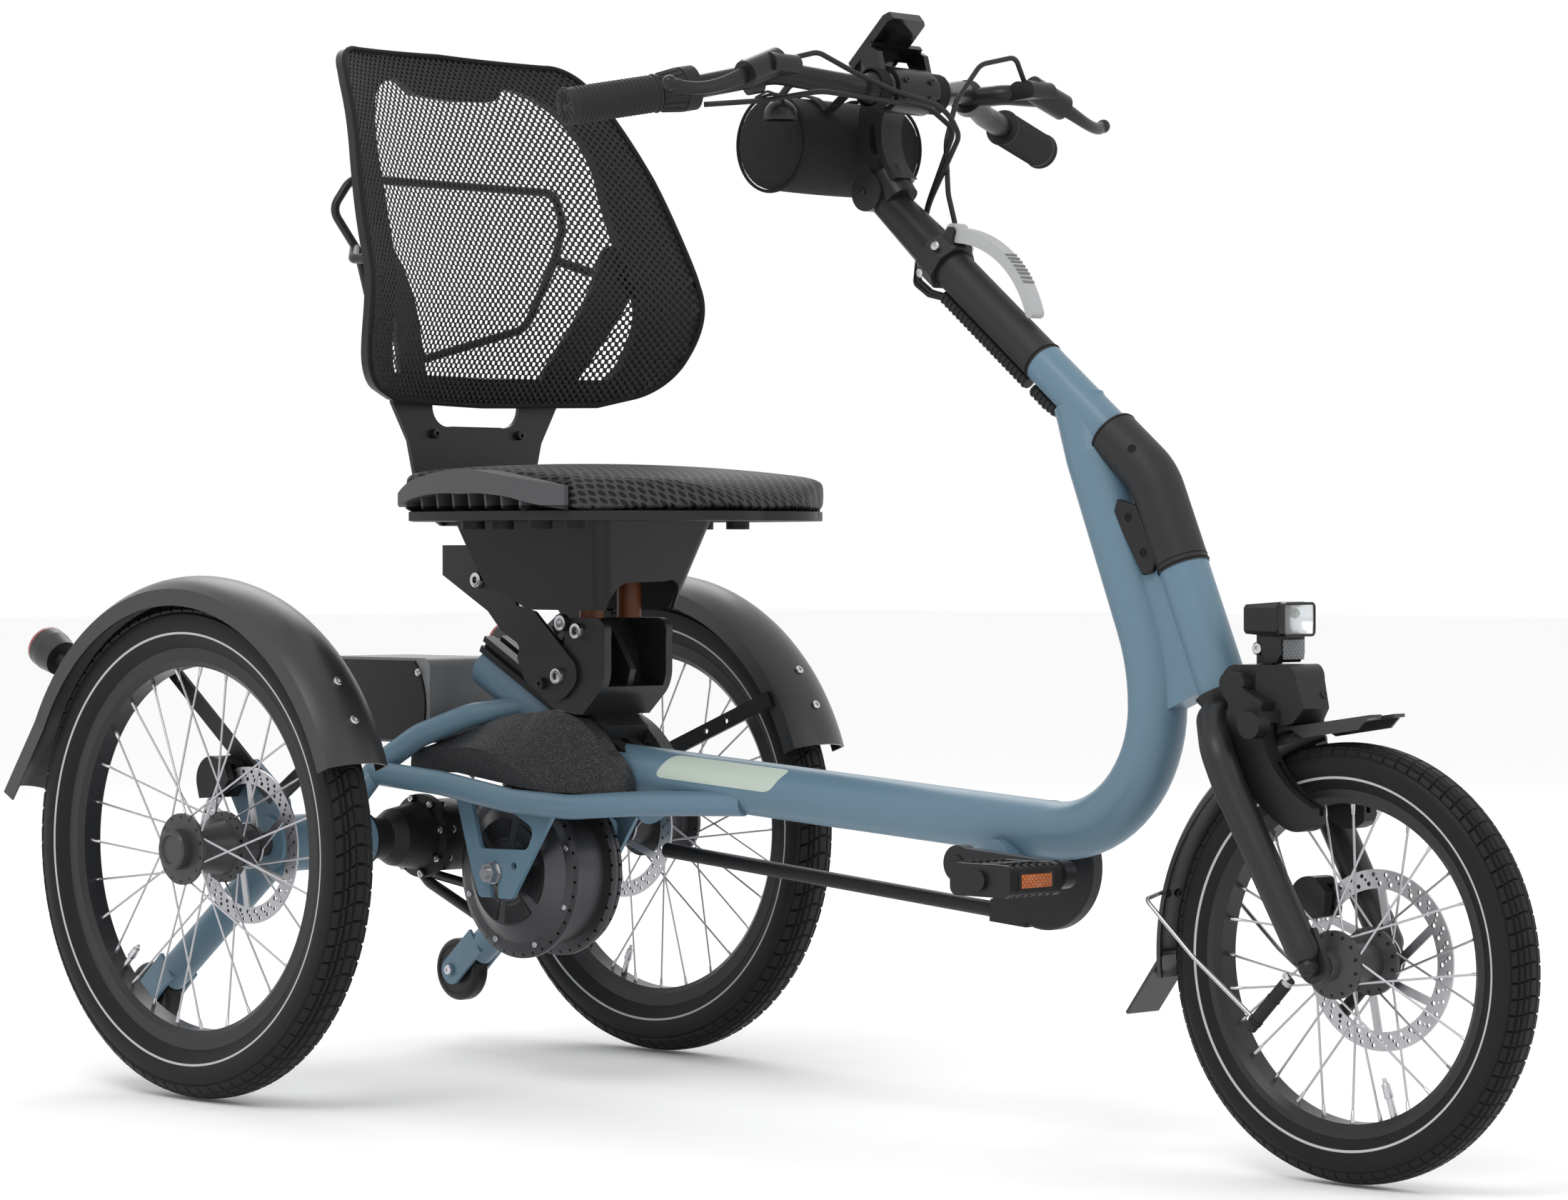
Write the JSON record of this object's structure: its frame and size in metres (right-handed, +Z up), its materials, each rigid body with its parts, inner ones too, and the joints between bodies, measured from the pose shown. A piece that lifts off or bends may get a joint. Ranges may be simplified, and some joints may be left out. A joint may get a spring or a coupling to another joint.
{
  "type": "recumbent electric tricycle",
  "caption": "Low step-through electric tricycle with two rear wheels, a small steered front wheel, a chair seat with mesh back, pedals and a swept handlebar on a sloping column.",
  "frame": {"origin": "on the floor under the middle of the whole tricycle's length and width", "axes": "+X forwards, +Y to the rider's left, +Z up"},
  "size_m": [1.7142, 0.72, 1.076],
  "materials": {
    "frame_paint": "satin",
    "black_paint": "satin",
    "black_plastic": "fine grained",
    "gloss_black": "polished",
    "grey_plastic": "grained",
    "tyre_rubber": "matt",
    "grip_rubber": "matt",
    "alloy": "brushed",
    "steel": "zinc plated",
    "dark_alloy": "anodised",
    "cast": "painted cast",
    "mesh": "woven mesh",
    "bag_cloth": "woven",
    "lamp_red": "clear red",
    "elastomer": "smooth",
    "light_grey": "satin"
  },
  "bodies": {
    "frame": {"main_frame": "frame_paint", "rear_frame": "frame_paint", "motor_axle": "steel", "differential": "cast", "drive_covers": "black_plastic", "battery": "black_plastic", "guard_rods": "black_paint", "rear_mudguards": "black_plastic", "mudguard_stays": "black_paint", "rear_calipers": "dark_alloy", "tail_lamps": "lamp_red", "chain_guard": "black_plastic", "seat_rail": "dark_alloy", "elbow_cover": "black_plastic", "frame_cable": "black_plastic"},
    "column": {"column_sleeve": "black_plastic", "stem": "dark_alloy", "handlebar": "dark_alloy", "grips": "grip_rubber", "brake_levers": "dark_alloy", "display": "gloss_black", "bell": "black_paint", "handlebar_bag": "bag_cloth", "qr_lever": "light_grey", "brake_cables": "black_plastic"},
    "fork_body": {"fork": "black_paint", "front_axle": "steel", "ring_lock": "black_plastic", "front_mudguard": "black_plastic", "front_stay": "black_paint", "headlight": "black_plastic", "front_caliper": "dark_alloy"},
    "front_wheel": {"tyre_front": "tyre_rubber", "wheel_front": "dark_alloy"},
    "left_wheel": {"tyre_left": "tyre_rubber", "wheel_left": "dark_alloy"},
    "right_wheel": {"tyre_right": "tyre_rubber", "wheel_right": "dark_alloy"},
    "motor": {"hub_motor": "dark_alloy"},
    "cranks": {"crankset": "dark_alloy"},
    "left_pedal": {"pedal_left": "black_plastic"},
    "right_pedal": {"pedal_right": "black_plastic"},
    "left_caster": {"caster_left": "tyre_rubber"},
    "right_caster": {"caster_right": "tyre_rubber"},
    "seat": {"seat_cushion": "mesh", "seat_shell": "grey_plastic", "seat_housing": "black_plastic", "seat_mechanism": "black_paint", "seat_dampers": "elastomer", "back_frame": "black_plastic", "back_mesh": "mesh", "back_support": "black_paint", "back_bracket": "black_paint"}
  },
  "joints": [
    {"name": "fork_steer", "type": "hinge", "parent": "frame", "child": "fork_body", "pos_m": [0.47266, 0, 0.537], "axis": [-0.3935, 0, 0.9193], "range_deg": [-35, 35]},
    {"name": "column_steer", "type": "hinge", "parent": "frame", "child": "column", "pos_m": [0.30466, 0, 0.726], "axis": [-0.7803, 0, 0.6255], "range_deg": [-35, 35]},
    {"name": "front_wheel_spin", "type": "hinge", "parent": "fork_body", "child": "front_wheel", "pos_m": [0.66416, 0, 0.193], "axis": [0, 1, 0], "continuous": true},
    {"name": "left_wheel_spin", "type": "hinge", "parent": "frame", "child": "left_wheel", "pos_m": [-0.54834, 0.32, 0.253], "axis": [0, 1, 0], "continuous": true},
    {"name": "right_wheel_spin", "type": "hinge", "parent": "frame", "child": "right_wheel", "pos_m": [-0.54834, -0.32, 0.253], "axis": [0, 1, 0], "continuous": true},
    {"name": "motor_spin", "type": "hinge", "parent": "frame", "child": "motor", "pos_m": [-0.39434, 0, 0.223], "axis": [0, 1, 0], "continuous": true},
    {"name": "crank_spin", "type": "hinge", "parent": "frame", "child": "cranks", "pos_m": [0.27166, 0, 0.265], "axis": [0, 1, 0], "continuous": true},
    {"name": "left_pedal_spin", "type": "hinge", "parent": "cranks", "child": "left_pedal", "pos_m": [0.14973, 0.096, 0.26926], "axis": [0, 1, 0], "continuous": true},
    {"name": "right_pedal_spin", "type": "hinge", "parent": "cranks", "child": "right_pedal", "pos_m": [0.39359, -0.096, 0.26074], "axis": [0, 1, 0], "continuous": true},
    {"name": "left_caster_spin", "type": "hinge", "parent": "frame", "child": "left_caster", "pos_m": [-0.76334, 0.215, 0.083], "axis": [0, 1, 0], "continuous": true},
    {"name": "right_caster_spin", "type": "hinge", "parent": "frame", "child": "right_caster", "pos_m": [-0.76334, -0.215, 0.083], "axis": [0, 1, 0], "continuous": true},
    {"name": "seat_slide", "type": "slide", "parent": "frame", "child": "seat", "axis": [-0.883, 0, 0.4693], "range_m": [0, 0.12]}
  ],
  "couplings": [
    {"joint": "column_steer", "follows": "fork_steer", "ratio": 1}
  ]
}
